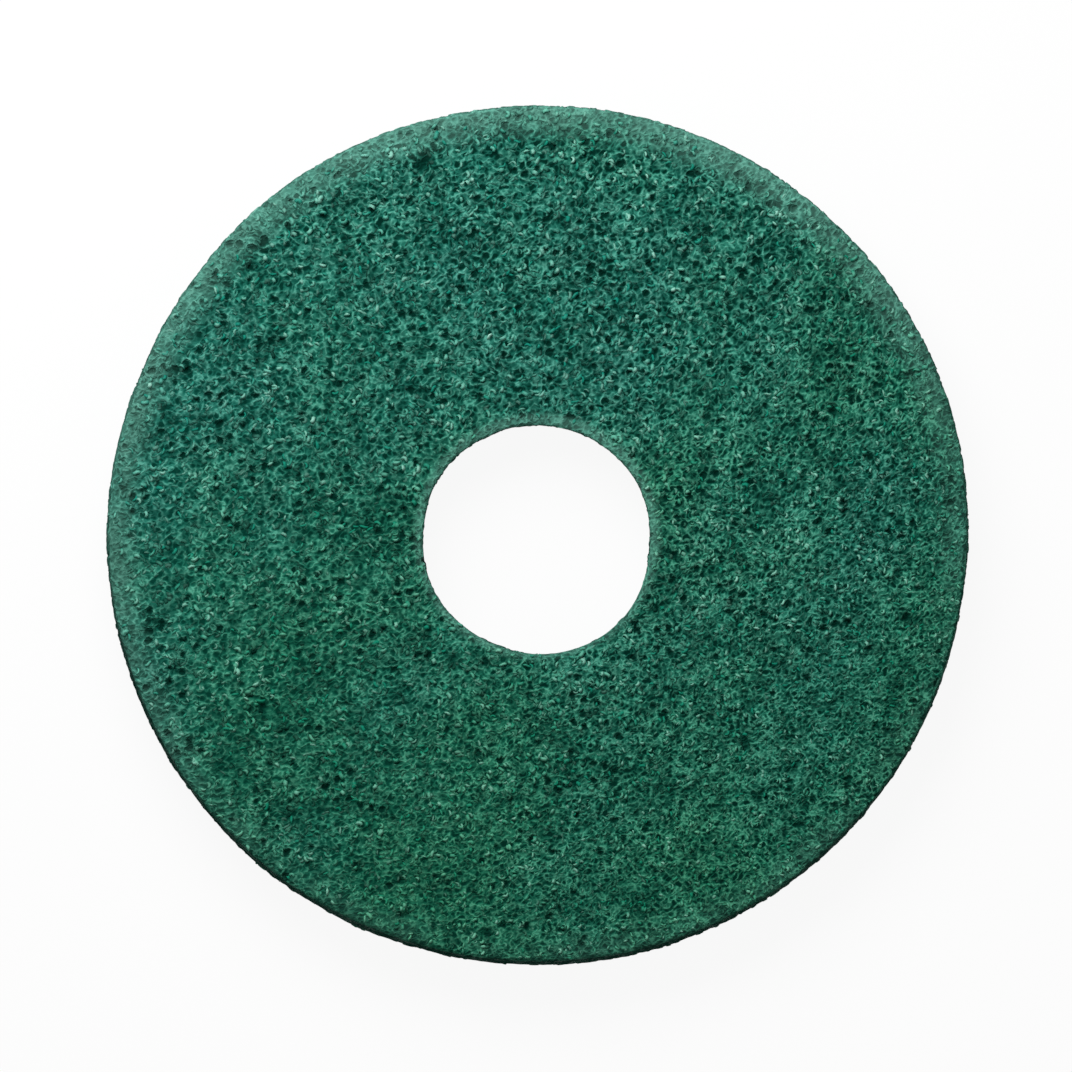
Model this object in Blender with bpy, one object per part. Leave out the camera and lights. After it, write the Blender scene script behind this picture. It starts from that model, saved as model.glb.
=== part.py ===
"""Floor scrubbing pad: one thick ring of matted, resin-bonded fibre, die-cut from a web.

The pad lies flat. Its lower face is on z = 0 and the centre of its outline is on the Z axis.
All sizes are in metres and all directions are degrees counter-clockwise from +X, seen from above.

Each of the four surfaces is laid out flat as a sheet with pores in it, then bent to its place.
Rounded edges join the sheets into one closed skin.
"""

import math
import random

import bmesh
import bpy
from mathutils import Vector, geometry, noise

# Overall sizes
PAD_DIAMETER = 0.305
PAD_THICKNESS = 0.025
HOLE_DIAMETER = 0.0812

# The centre is knocked out by hand, a little off the middle of the disc
HOLE_OFFSET = 0.0012
HOLE_OFFSET_DIRECTION = 262.0

# Cut walls: the press squeezes the web, so the lower edge stands out further than the upper one
RIM_FLARE = 0.0009
HOLE_FLARE = 0.0005
EDGE_ROUNDING = 0.0018

# The cut outlines are not quite round: lobes, height and direction of each wave
PAD_WAVES = ((2, 0.00033, 36.0), (4, 0.00015, 28.0), (6, 0.00014, 5.0), (7, 0.00012, 22.0))
HOLE_WAVES = ((2, 0.00025, 313.0), (3, 0.00024, 55.0), (4, 0.00024, 37.0), (6, 0.00016, 27.0))

# The larger pores between the bundles of fibre, open to the faces and to the cut walls
PORE_RADIUS = 0.0027
PORE_DEPTH = 0.0034
PORE_GAP = 0.0039
PORE_MARGIN = 0.0014
PORE_SMALLEST = 0.48
PORE_STRETCH = 0.75
PORE_UNEVENNESS = 0.22
PORE_CORNERS = (4, 5, 5, 6)
PORE_CORNER_SHIFT = 0.4
PORE_SHALLOWEST = 0.7
PORE_LEAN = 0.3
LAY_DIRECTION = 28.0
LAY_SPREAD = 35.0

# How far the ground between the pores sinks, and how far the cut walls are frayed
MATTING = 0.00080
FRAY = 0.00030
FIBRE_CLUMP = 0.0031
CLUMP_STEEPNESS = 2.5

# Level ground where the driver or the floor bears, half way between hole and rim
SEAT_RADIUS = 0.0966
SEAT_WIDTH = 0.012
SEAT_CORNERS = 8

# How finely the round forms are drawn
RIM_STEPS = 96
HOLE_STEPS = 48
EDGE_STEPS = 2
MISSES_ON_FACE = 900
MISSES_ON_WALL = 300
SHARP_FROM = 24.0

# Points closer than this lie on the same corner or line
TOUCHING = 0.0001
SAME_POINT = 0.00002

SEED = 12

FIBRE_COLOUR = (0.018, 0.109, 0.074, 1.0)
FIBRE_ROUGHNESS = 0.78


def clear_scene():
    for item in list(bpy.data.objects):
        bpy.data.objects.remove(item, do_unlink=True)


def fibre_material():
    material = bpy.data.materials.new("scrub_pad_fibre")
    material.use_nodes = True
    shader = material.node_tree.nodes["Principled BSDF"]
    shader.inputs["Base Color"].default_value = FIBRE_COLOUR
    shader.inputs["Roughness"].default_value = FIBRE_ROUGHNESS
    shader.inputs["Metallic"].default_value = 0.0
    material.diffuse_color = FIBRE_COLOUR
    return material


def polar(radius, angle, height=0.0):
    return Vector((radius * math.cos(angle), radius * math.sin(angle), height))


def circle(radius, steps, offset=(0.0, 0.0), turn=0.0):
    """Corners of a round outline, counter-clockwise."""
    return [
        Vector(offset).to_2d() + polar(radius, turn + math.tau * step / steps).to_2d()
        for step in range(steps)
    ]


# The cut outlines


def wave_height(waves, angle):
    """How far a cut outline stands out of its circle at an angle."""
    return sum(
        height * math.cos(lobes * (angle - math.radians(direction)))
        for lobes, height, direction in waves
    )


def out_of_round(point):
    """A point of the true ring, moved to where the hand-fed cut really left it."""
    radius = math.hypot(point.x, point.y)
    angle = math.atan2(point.y, point.x)
    share = (radius - HOLE_DIAMETER / 2) / (PAD_DIAMETER / 2 - HOLE_DIAMETER / 2)
    share = min(max(share, 0.0), 1.0)
    moved = radius + wave_height(PAD_WAVES, angle) * share
    moved = moved + wave_height(HOLE_WAVES, angle) * (1 - share)
    centre = polar(HOLE_OFFSET * (1 - share), math.radians(HOLE_OFFSET_DIRECTION))
    return polar(moved, angle, point.z) + centre


def rim_radius(height):
    return PAD_DIAMETER / 2 - RIM_FLARE * height / PAD_THICKNESS


def hole_radius(height):
    return HOLE_DIAMETER / 2 + HOLE_FLARE * height / PAD_THICKNESS


# Pores


def pore_mouth(chance, centre, direction, size):
    """Uneven corners round a pore's centre, stretched along a direction."""
    along = Vector((math.cos(direction), math.sin(direction)))
    across = Vector((-along.y, along.x))
    stretch = 1.0 + PORE_STRETCH * chance.random() ** 2
    corners = chance.choice(PORE_CORNERS)
    mouth = []
    for step in range(corners):
        angle = math.tau * (step + PORE_CORNER_SHIFT * chance.random()) / corners
        reach = size * (1.0 + PORE_UNEVENNESS * chance.uniform(-1.0, 1.0))
        mouth.append(
            centre
            + along * (reach * stretch * math.cos(angle))
            + across * (reach / stretch * math.sin(angle))
        )
    return mouth


def pore_reach(size):
    """The furthest that a pore of this size may come from its centre."""
    return size * (1.0 + PORE_STRETCH) * (1.0 + PORE_UNEVENNESS)


def strewn_pores(chance, any_centre, lay, lay_spread, misses_allowed, kept_clear=()):
    """Pores of mixed sizes, strewn without order but never closer than the gap."""
    pores = []
    taken = list(kept_clear)
    misses = 0
    while misses < misses_allowed:
        size = PORE_RADIUS * (PORE_SMALLEST + (1.0 - PORE_SMALLEST) * chance.random() ** 2)
        reach = pore_reach(size)
        centre = any_centre(reach)
        if centre is None or any(
            (centre - other).length < reach + room + PORE_GAP for other, room in taken
        ):
            misses += 1
            continue
        misses = 0
        taken.append((centre, reach))
        direction = chance.gauss(lay(centre), lay_spread)
        mouth = pore_mouth(chance, centre, direction, size)
        depth = PORE_DEPTH * math.sqrt(size / PORE_RADIUS) * chance.uniform(PORE_SHALLOWEST, 1.0)
        lean = Vector([chance.uniform(-PORE_LEAN, PORE_LEAN) for _ in range(2)])
        pores.append((mouth, centre + lean * size, depth))
    return pores


def face_pores(chance, height):
    inner = hole_radius(height) + EDGE_ROUNDING + PORE_MARGIN
    outer = rim_radius(height) - EDGE_ROUNDING - PORE_MARGIN

    def any_centre(reach):
        low = inner + reach
        high = outer - reach
        if low >= high:
            return None
        radius = math.sqrt(chance.uniform(low * low, high * high))
        return polar(radius, chance.uniform(0.0, math.tau)).to_2d()

    def lay(centre):
        return math.radians(LAY_DIRECTION)

    seat = (Vector((SEAT_RADIUS, 0.0)), SEAT_WIDTH / 2)
    return strewn_pores(
        chance, any_centre, lay, math.radians(LAY_SPREAD), MISSES_ON_FACE, [seat]
    )


def wall_pores(chance, radius):
    """Pores of a cut wall lie level, along the layers of the web."""
    length = math.tau * radius

    def any_centre(reach):
        low = EDGE_ROUNDING + PORE_MARGIN + PORE_DEPTH / 2 + reach / (1.0 + PORE_STRETCH)
        if low >= PAD_THICKNESS - low or reach >= length - reach:
            return None
        return Vector(
            (chance.uniform(reach, length - reach), chance.uniform(low, PAD_THICKNESS - low))
        )

    def lay(centre):
        return 0.0

    return strewn_pores(
        chance, any_centre, lay, math.radians(LAY_SPREAD / 3), MISSES_ON_WALL
    )


# The skin


def pored_sheet(shape, outline, openings, seats, pores, place):
    """A flat outline with openings and pores, filled with triangles and put in its place.

    place turns a point of the flat layout and a depth below it into a point of the pad.
    """
    loops = [outline] + openings + [mouth for mouth, _, _ in pores] + seats
    points = []
    faces = []
    for loop in loops:
        faces.append(list(range(len(points), len(points) + len(loop))))
        points.extend(loop)
    filled = geometry.delaunay_2d_cdt(points, [], faces, 1, 1e-7)
    spread, triangles, owners = filled[0], filled[2], filled[5]
    solid_ground = {0} | set(range(len(loops) - len(seats), len(loops)))
    verts = [shape.verts.new(place(point.x, point.y, 0.0)) for point in spread]
    for triangle, owner in zip(triangles, owners):
        if set(owner) <= solid_ground:
            shape.faces.new([verts[index] for index in triangle])
    for mouth, bottom, depth in pores:
        rim = [shape.verts.new(place(corner.x, corner.y, 0.0)) for corner in mouth]
        point = shape.verts.new(place(bottom.x, bottom.y, depth))
        for a, b in zip(rim, rim[1:] + rim[:1]):
            shape.faces.new((a, b, point))


def add_face(shape, chance, height, upward):
    def place(x, y, depth):
        return Vector((x, y, height - upward * depth))

    outline = circle(rim_radius(height) - EDGE_ROUNDING, RIM_STEPS)
    opening = circle(hole_radius(height) + EDGE_ROUNDING, HOLE_STEPS)
    seat = circle(SEAT_WIDTH / 2, SEAT_CORNERS, (SEAT_RADIUS, 0.0))
    pores = face_pores(chance, height)
    pored_sheet(shape, outline, [opening], [seat], pores, place)


def add_wall(shape, chance, radius_at, facing, steps):
    """A cut wall, laid out as a strip between its two edges and rolled up."""
    radius = radius_at(0.0)
    length = math.tau * radius
    low = EDGE_ROUNDING
    high = PAD_THICKNESS - EDGE_ROUNDING

    def place(along, height, depth):
        return polar(radius_at(height) - facing * depth, math.tau * along / length, height)

    lower = [Vector((length * step / steps, low)) for step in range(steps + 1)]
    upper = [Vector((length * step / steps, high)) for step in range(steps, -1, -1)]
    pored_sheet(shape, lower + upper, [], [], wall_pores(chance, radius), place)


def add_edge(shape, radius_at, facing, upward, steps):
    """The worn corner between a face and a cut wall, as a quarter round."""
    face_height = PAD_THICKNESS if upward > 0 else 0.0
    wall_height = face_height - upward * EDGE_ROUNDING
    rings = []
    for step in range(EDGE_STEPS + 1):
        bend = math.pi / 2 * step / EDGE_STEPS
        face_radius = radius_at(face_height) - facing * EDGE_ROUNDING
        wall_radius = radius_at(wall_height)
        radius = face_radius + (wall_radius - face_radius) * math.sin(bend)
        height = wall_height + upward * EDGE_ROUNDING * math.cos(bend)
        rings.append(
            [
                shape.verts.new(polar(radius, math.tau * turn / steps, height))
                for turn in range(steps)
            ]
        )
    for near, far in zip(rings, rings[1:]):
        for a, b in zip(range(steps), list(range(1, steps)) + [0]):
            shape.faces.new((near[a], near[b], far[b], far[a]))


def matted(point):
    """A point of the smooth ring, moved by the clumps of fibre that lie there."""
    clump = noise.noise(point / FIBRE_CLUMP)
    radius = math.hypot(point.x, point.y)
    moved = point.copy()
    seat = Vector((SEAT_RADIUS, 0.0))
    near_seat = (point.to_2d() - seat).length <= SEAT_WIDTH / 2 + TOUCHING
    on_rim = radius > rim_radius(point.z) - EDGE_ROUNDING - TOUCHING
    in_hole = radius < hole_radius(point.z) + EDGE_ROUNDING + TOUCHING
    if on_rim or in_hole:
        moved = polar(radius + FRAY * clump, math.atan2(point.y, point.x), point.z)
    elif not near_seat:
        sunk = MATTING * min(1.0, abs(clump) * CLUMP_STEEPNESS)
        moved.z = point.z - sunk if point.z > PAD_THICKNESS / 2 else point.z + sunk
    return out_of_round(moved)


def pad_mesh():
    chance = random.Random(SEED)
    shape = bmesh.new()
    add_face(shape, chance, PAD_THICKNESS, 1)
    add_face(shape, chance, 0.0, -1)
    add_wall(shape, chance, rim_radius, 1, RIM_STEPS)
    add_wall(shape, chance, hole_radius, -1, HOLE_STEPS)
    for radius_at, facing, steps in ((rim_radius, 1, RIM_STEPS), (hole_radius, -1, HOLE_STEPS)):
        add_edge(shape, radius_at, facing, 1, steps)
        add_edge(shape, radius_at, facing, -1, steps)
    bmesh.ops.remove_doubles(shape, verts=shape.verts, dist=SAME_POINT)
    for vert in shape.verts:
        vert.co = matted(vert.co)
    bmesh.ops.recalc_face_normals(shape, faces=shape.faces)
    mesh = bpy.data.meshes.new("scrub_pad")
    shape.to_mesh(mesh)
    shape.free()
    mesh.shade_smooth()
    mesh.set_sharp_from_angle(angle=math.radians(SHARP_FROM))
    return mesh


clear_scene()
pad = bpy.data.objects.new("scrub_pad", pad_mesh())
pad.data.materials.append(fibre_material())
bpy.context.scene.collection.objects.link(pad)
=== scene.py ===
"""Floor scrubbing pad: a thick ring of matted, resin-coated green fibre, seen from straight above.

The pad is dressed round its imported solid: a core with the relief of the web, and curled fibres that
lie over its faces and its cut walls. All lengths are in metres, +Z is up.
"""

import math

import bmesh
import bpy
import numpy as np
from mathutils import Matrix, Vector


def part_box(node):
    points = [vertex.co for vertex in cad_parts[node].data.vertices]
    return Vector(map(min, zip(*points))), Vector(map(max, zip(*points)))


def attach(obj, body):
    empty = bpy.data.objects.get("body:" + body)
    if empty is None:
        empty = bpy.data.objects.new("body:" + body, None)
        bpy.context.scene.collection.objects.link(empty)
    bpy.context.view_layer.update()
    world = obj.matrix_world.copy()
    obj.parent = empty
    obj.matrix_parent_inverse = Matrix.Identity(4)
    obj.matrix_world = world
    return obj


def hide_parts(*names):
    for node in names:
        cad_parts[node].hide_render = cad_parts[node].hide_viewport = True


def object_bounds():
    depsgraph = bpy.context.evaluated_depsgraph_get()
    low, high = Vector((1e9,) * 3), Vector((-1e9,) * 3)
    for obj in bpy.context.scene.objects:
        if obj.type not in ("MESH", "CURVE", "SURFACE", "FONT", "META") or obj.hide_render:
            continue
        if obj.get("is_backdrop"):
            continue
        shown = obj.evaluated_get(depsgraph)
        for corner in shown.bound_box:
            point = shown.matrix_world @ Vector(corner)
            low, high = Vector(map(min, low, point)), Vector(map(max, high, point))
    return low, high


bl_info = {
    "name": "Floor Scrubbing Pad",
    "version": (1, 0, 0),
    "blender": (4, 5, 0),
    "location": "View3D > Sidebar > Scrubbing Pad",
    "description": "Dresses a scrubbing pad's solid with matted fibre and sets a plain white stage",
    "category": "Add Mesh",
}

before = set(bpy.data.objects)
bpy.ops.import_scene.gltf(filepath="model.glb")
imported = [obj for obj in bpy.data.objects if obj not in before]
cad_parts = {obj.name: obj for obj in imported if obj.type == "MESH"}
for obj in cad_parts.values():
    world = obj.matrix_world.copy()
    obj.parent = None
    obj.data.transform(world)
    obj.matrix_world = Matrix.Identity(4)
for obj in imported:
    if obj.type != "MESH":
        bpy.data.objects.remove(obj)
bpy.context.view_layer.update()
PAD_NODE = "scrub_pad"
BODY = "root"

PAD_LOW, PAD_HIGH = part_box(PAD_NODE)
THICKNESS = PAD_HIGH[2] - PAD_LOW[2]

# The ring's own measures, as its solid has them
RIM_RADIUS = 0.1525
HOLE_RADIUS = 0.0406
RIM_FLARE = 0.0009
HOLE_FLARE = 0.0005
EDGE_ROUNDING = 0.0018
HOLE_OFFSET = 0.0012
HOLE_OFFSET_DIRECTION = 262.0
RIM_WAVES = ((2, 0.00033, 36.0), (4, 0.00015, 28.0), (6, 0.00014, 5.0), (7, 0.00012, 22.0))
HOLE_WAVES = ((2, 0.00025, 313.0), (3, 0.00024, 55.0), (4, 0.00024, 37.0), (6, 0.00016, 27.0))

MM = 0.001

# The sides where the web is bluest, most worn, finest, calmest and most open
TEAL_SIDE = math.radians(116.0)
WORN_SIDE = math.radians(105.0)
FINE_SIDE = math.radians(310.0)
CALM_SIDE = math.radians(200.0)
OPEN_SIDE = math.radians(115.0)

# The direction that the fibres tend to, and how far the pattern is stretched along it
GRAIN = math.radians(35.0)
GRAIN_STRETCH = 0.14

# How far the rim slopes out from top to bottom: on average, its swing, and the side with the most.
# Away from that side the walls hang over. The fullness moves the rim out against its own relief
SLOPE = 0.0002
SLOPE_SWING = 0.0013
SLOPE_SIDE = math.radians(258.0)
OVERHANG = 0.0006
FULLNESS = 0.00025

# Millimetres between openings, the share of wide ones, and metres from the faces to where the
# walls are laid out
PORE_SPACING = 4.3
WIDE_PORES = 0.18
WALL_LAYOUT = 1.0

# What web_shares gives, as it is stored on points
SHARES = ("bluer", "deep", "rubbed", "clump", "calm")

# How far strands keep from the edges, and how far from a surface their rays start
HOLE_MARGIN = 0.8 * MM
RIM_MARGIN = 1.0 * MM
WALL_MARGIN = 0.9 * MM
FACE_REACH = 3.0 * MM
WALL_REACH = 3.5 * MM
RELIEF_REACH = 2.0 * MM
RELIEF_RAY = 8.0 * MM

# Strands started on a square metre, and points along a strand
WALL_DENSITY = 80000.0
FLOOR_DENSITY = 40000.0
FACE_DENSITY = 60000.0
CURL_DENSITY = 34000.0
WALL_POINTS = 11
FLOOR_POINTS = 9
FACE_POINTS = 7

RESIN = {"IOR": 1.45, "Specular IOR Level": 0.02}

# The photo's side and the place of the pad's middle in it, in pixels
PHOTO_PIXELS = 1072
PAD_ACROSS = 537.5
PAD_DOWN = 536.3

# The stage
FLOOR_HALF_SIDE = 2.5
LAMP_WIDTH = 0.8
LAMP_PLACE = (-0.22, 0.62, 0.66)
CAMERA_HEIGHT = 1.0
CLEAR_WHITE = (1.0, 1.0, 1.0, 1.0)


# Nodes as Python expressions


class Wire:
    """A socket that can be used in an expression, which adds the Math nodes it needs."""

    def __init__(self, graph, socket):
        self.graph = graph
        self.socket = socket

    def math(self, operation, *others, swap=False):
        terms = (*others, self) if swap else (self, *others)
        settings = {"operation": operation}
        return self.graph.node("ShaderNodeMath", settings, dict(enumerate(terms)))[0]

    def __add__(self, other):
        return self.math("ADD", other)

    def __radd__(self, other):
        return self.math("ADD", other)

    def __sub__(self, other):
        return self.math("SUBTRACT", other)

    def __rsub__(self, other):
        return self.math("SUBTRACT", other, swap=True)

    def __mul__(self, other):
        return self.math("MULTIPLY", other)

    def __rmul__(self, other):
        return self.math("MULTIPLY", other)

    def __truediv__(self, other):
        return self.math("DIVIDE", other)

    def __rtruediv__(self, other):
        return self.math("DIVIDE", other, swap=True)

    def __abs__(self):
        return self.math("ABSOLUTE")

    def __lt__(self, other):
        return self.math("LESS_THAN", other)

    def __gt__(self, other):
        return self.math("GREATER_THAN", other)

    def least(self, other):
        return self.math("MINIMUM", other)

    def most(self, other):
        return self.math("MAXIMUM", other)

    def limited(self):
        return self.math("MAXIMUM", 0.0).math("MINIMUM", 1.0)

    def eased(self, start, end, low=0.0, high=1.0):
        """Runs smoothly from low to high as the wire goes from start to end."""
        settings = {"interpolation_type": "SMOOTHSTEP"}
        values = {0: self, 1: start, 2: end, 3: low, 4: high}
        return self.graph.node("ShaderNodeMapRange", settings, values)[0]


class Made:
    """A node whose outputs are read as wires."""

    def __init__(self, graph, node):
        self.graph = graph
        self.node = node

    def __getitem__(self, name):
        return Wire(self.graph, self.node.outputs[name])


class Graph:
    """A node tree that is added to by type, settings and values."""

    def __init__(self, tree):
        self.tree = tree
        tree.nodes.clear()

    def node(self, kind, settings=None, values=None):
        made = self.tree.nodes.new(kind)
        for name, value in (settings or {}).items():
            setattr(made, name, value)
        for name, value in (values or {}).items():
            if isinstance(value, Wire):
                self.tree.links.new(value.socket, made.inputs[name])
            else:
                made.inputs[name].default_value = value
        return Made(self, made)

    def vector(self, operation, *terms, scale=None):
        values = dict(enumerate(terms))
        if scale is not None:
            values["Scale"] = scale
        made = self.node("ShaderNodeVectorMath", {"operation": operation}, values)
        return made[1] if operation in ("LENGTH", "DOT_PRODUCT", "DISTANCE") else made[0]

    def joined(self, x, y, z):
        return self.node("ShaderNodeCombineXYZ", None, {0: x, 1: y, 2: z})[0]

    def parts(self, vector):
        made = self.node("ShaderNodeSeparateXYZ", None, {0: vector})
        return made[0], made[1], made[2]

    def colours(self, factor, first, second):
        settings = {"data_type": "RGBA"}
        return self.node("ShaderNodeMix", settings, {0: factor, 6: first, 7: second})[2]

    def noise(self, vector, scale, detail=0.0, roughness=0.5, out="Fac"):
        values = {"Vector": vector, "Scale": scale, "Detail": detail, "Roughness": roughness}
        return self.node("ShaderNodeTexNoise", {"noise_dimensions": "3D"}, values)[out]

    def link(self, wire, node, name):
        self.tree.links.new(wire.socket, node.inputs[name])


def moved(graph, vector, x, y, z):
    return graph.vector("ADD", vector, (x, y, z))


# The web's own pattern, shared by the relief and the finishes


def bent(graph, place, scale, reach):
    """A place in millimetres, pushed about by noise so that nothing in the pattern is regular."""
    push = graph.noise(place, scale, 1.0, out="Color")
    push = graph.vector("SUBTRACT", push, (0.5, 0.5, 0.5))
    return graph.vector("ADD", place, graph.vector("SCALE", push, scale=reach))


def grained(graph, place):
    """A place squeezed across the grain, so that what is laid out on it runs along the grain."""
    across = tuple(polar(1.0, GRAIN + math.pi / 2))
    share = graph.vector("DOT_PRODUCT", place, across) * GRAIN_STRETCH
    return graph.vector("ADD", place, graph.vector("SCALE", across, scale=share))


def millimetres(graph, place):
    return graph.vector("SCALE", place, scale=1000.0)


def pores(graph, layout):
    """Openings between the fibres and the curls that ring them, both from 0 to 1.

    A few openings are wide and deep. The others are shallow.
    """
    settings = {"voronoi_dimensions": "2D", "feature": "F1"}
    crooked = bent(graph, bent(graph, grained(graph, layout), 0.45, 2.6), 1.1, 0.7)
    values = {"Vector": crooked, "Scale": 1.0 / PORE_SPACING, "Randomness": 0.9}
    cell = graph.node("ShaderNodeTexVoronoi", settings, values)
    chance, spread, _ = graph.parts(cell["Color"])
    wide = chance < WIDE_PORES
    strength = 0.22 + wide * 0.78
    side = graph.vector("DOT_PRODUCT", layout, tuple(polar(MM / RIM_RADIUS, OPEN_SIDE)))
    gathered = graph.noise(layout, 0.035, 1.0) + side.least(1.0) * 0.13
    strength = strength * gathered.eased(0.35, 0.54, 0.42, 1.0)
    reach = 0.12 + spread * 0.08 + wide * 0.12
    inside = cell["Distance"].eased(reach * 1.1, reach * 0.45)
    ring = cell["Distance"].eased(reach * 0.95, reach + 0.08)
    ring = ring * cell["Distance"].eased(reach + 0.26, reach + 0.10)
    return inside * strength, ring * strength


def ridges(graph, place, scale):
    """Winding ridges of noise: 1 along a ridge, 0 between."""
    wave = graph.noise(place, scale, 0.6, 0.35)
    return (1.0 - abs(wave - 0.5) * 6.5).limited()


def fineness(graph, place, start, end):
    """From 0 to 1 towards the side where the web is finest, over a part of the radius."""
    side = graph.vector("DOT_PRODUCT", place, tuple(polar(1.0, FINE_SIDE)))
    return side.eased(start, end)


def crinkle(graph, place):
    """The finest curls of the web: 1 on a fibre, 0 in a gap."""
    scale = 0.84 + fineness(graph, place, -60.0, 140.0) * 0.14
    crinkled = bent(graph, grained(graph, place), 0.60, 1.0)
    first = ridges(graph, crinkled, scale * 0.41)
    second = ridges(graph, moved(graph, crinkled, 31.0, 7.0, 13.0), scale * 0.54)
    return (first * 0.62 + second * 0.52).limited()


def web_shares(graph, place):
    """How blue, deep, rubbed, clumped and calm the web is at a place, each from 0 to 1.

    It is bluer on one side and greener on the other. The rim and the hole's edge are rubbed.
    On its calm side the fibres stand out less. Away from its worn side the rim band has painted
    shade.
    """
    scaled = millimetres(graph, place)
    across = graph.vector("DOT_PRODUCT", place, tuple(polar(1.0 / RIM_RADIUS, TEAL_SIDE)))
    bluer = (across * 0.30 + graph.noise(scaled, 0.014, 2.0, 0.5)).eased(0.10, 0.90)
    deep = graph.noise(moved(graph, scaled, 41.0, 9.0, 3.0), 0.05, 2.0, 0.6).eased(0.36, 0.70)
    radius = graph.vector("LENGTH", graph.vector("MULTIPLY", place, (1.0, 1.0, 0.0)))
    wear = graph.noise(moved(graph, scaled, 3.0, 77.0, 0.0), 0.03, 1.0).eased(0.30, 0.60)
    side = graph.vector("DOT_PRODUCT", place, tuple(polar(1.0 / RIM_RADIUS, WORN_SIDE)))
    rim = radius.eased(RIM_RADIUS - 14.0 * MM, RIM_RADIUS - 1.5 * MM)
    worn = side.eased(-0.7, 0.9)
    # Painted shade: a band inside the rim, darkest away from the worn side, taken off the clumps
    dull = radius.eased(RIM_RADIUS - 13.0 * MM, RIM_RADIUS - 5.0 * MM) * (1.0 - worn) * 0.36
    rim = rim * (wear * 0.20 + worn * 0.72)
    hole = radius.eased(HOLE_RADIUS + 4.5 * MM, HOLE_RADIUS + 1.0 * MM) * 0.7
    clump = graph.noise(moved(graph, scaled, 0.0, 13.0, 29.0), 0.21, 1.0, 0.4).eased(0.36, 0.62)
    clump = clump - dull
    calm = graph.vector("DOT_PRODUCT", place, tuple(polar(1.0 / RIM_RADIUS, CALM_SIDE)))
    return bluer, deep, rim.most(hole).limited(), clump, calm.eased(-0.4, 0.9, 0.2, 1.0)


# Meshes


def polar(radius, angle, height=0.0):
    return Vector((radius * math.cos(angle), radius * math.sin(angle), height))


def out_of_round(points):
    """Points of the true ring, moved to where the cut outlines lie."""
    radius = np.hypot(points[:, 0], points[:, 1])
    angle = np.arctan2(points[:, 1], points[:, 0])
    share = np.clip((radius - HOLE_RADIUS) / (RIM_RADIUS - HOLE_RADIUS), 0.0, 1.0)
    moved_radius = radius.copy()
    for waves, part in ((RIM_WAVES, share), (HOLE_WAVES, 1.0 - share)):
        for lobes, height, direction in waves:
            moved_radius += part * height * np.cos(lobes * (angle - math.radians(direction)))
    centre = polar(HOLE_OFFSET, math.radians(HOLE_OFFSET_DIRECTION))
    x = moved_radius * np.cos(angle) + centre.x * (1.0 - share)
    y = moved_radius * np.sin(angle) + centre.y * (1.0 - share)
    return np.column_stack((x, y, points[:, 2]))


def rim_radius(height):
    return RIM_RADIUS - RIM_FLARE * height / THICKNESS


def hole_radius(height):
    return HOLE_RADIUS + HOLE_FLARE * height / THICKNESS


def rounded(centre_radius, centre_height, start, end, steps):
    """Radius and height along a quarter round of the section, without its last point."""
    turns = [math.radians(start + (end - start) * step / steps) for step in range(steps)]
    return [
        (
            centre_radius + EDGE_ROUNDING * math.cos(turn),
            centre_height + EDGE_ROUNDING * math.sin(turn),
        )
        for turn in turns
    ]


def section_rings(face_step, floor_step, wall_step):
    """Radius, height and spacing of each ring of points, once round the ring's section."""
    low = EDGE_ROUNDING
    high = THICKNESS - EDGE_ROUNDING
    top_inner = hole_radius(THICKNESS) + EDGE_ROUNDING
    top_outer = rim_radius(THICKNESS) - EDGE_ROUNDING
    low_inner = hole_radius(0.0) + EDGE_ROUNDING
    low_outer = rim_radius(0.0) - EDGE_ROUNDING
    corner_steps = max(2, round(math.pi / 2 * EDGE_ROUNDING / (wall_step * 0.75)))

    def between(start, end, step):
        count = max(1, round(abs(end - start) / step))
        return [start + (end - start) * number / count for number in range(count)]

    rings = [(r, THICKNESS, face_step) for r in between(top_inner, top_outer, face_step * 0.87)]
    rings += [(r, z, wall_step) for r, z in rounded(top_outer, high, 90, 0, corner_steps)]
    rings += [(rim_radius(z), z, wall_step) for z in between(high, low, wall_step * 0.87)]
    rings += [(r, z, wall_step) for r, z in rounded(low_outer, low, 0, -90, corner_steps)]
    rings += [(r, 0.0, floor_step) for r in between(low_outer, low_inner, floor_step * 0.87)]
    rings += [(r, z, wall_step) for r, z in rounded(low_inner, low, 270, 180, corner_steps)]
    rings += [(hole_radius(z), z, wall_step) for z in between(low, high, wall_step * 0.87)]
    rings += [(r, z, wall_step) for r, z in rounded(top_inner, high, 180, 90, corner_steps)]
    return rings


def zipped(first, second):
    """Triangles between two rings of points, given as (first index, count, turn of point 0)."""
    start_a, count_a, turn_a = first
    start_b, count_b, turn_b = second
    triangles = []
    a = b = 0
    while a < count_a or b < count_b:
        next_a = (a + 1 + turn_a) / count_a
        next_b = (b + 1 + turn_b) / count_b
        here_a = start_a + a % count_a
        here_b = start_b + b % count_b
        if b >= count_b or (a < count_a and next_a <= next_b):
            triangles.append((here_a, start_a + (a + 1) % count_a, here_b))
            a += 1
        else:
            triangles.append((here_a, start_b + (b + 1) % count_b, here_b))
            b += 1
    return triangles


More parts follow.
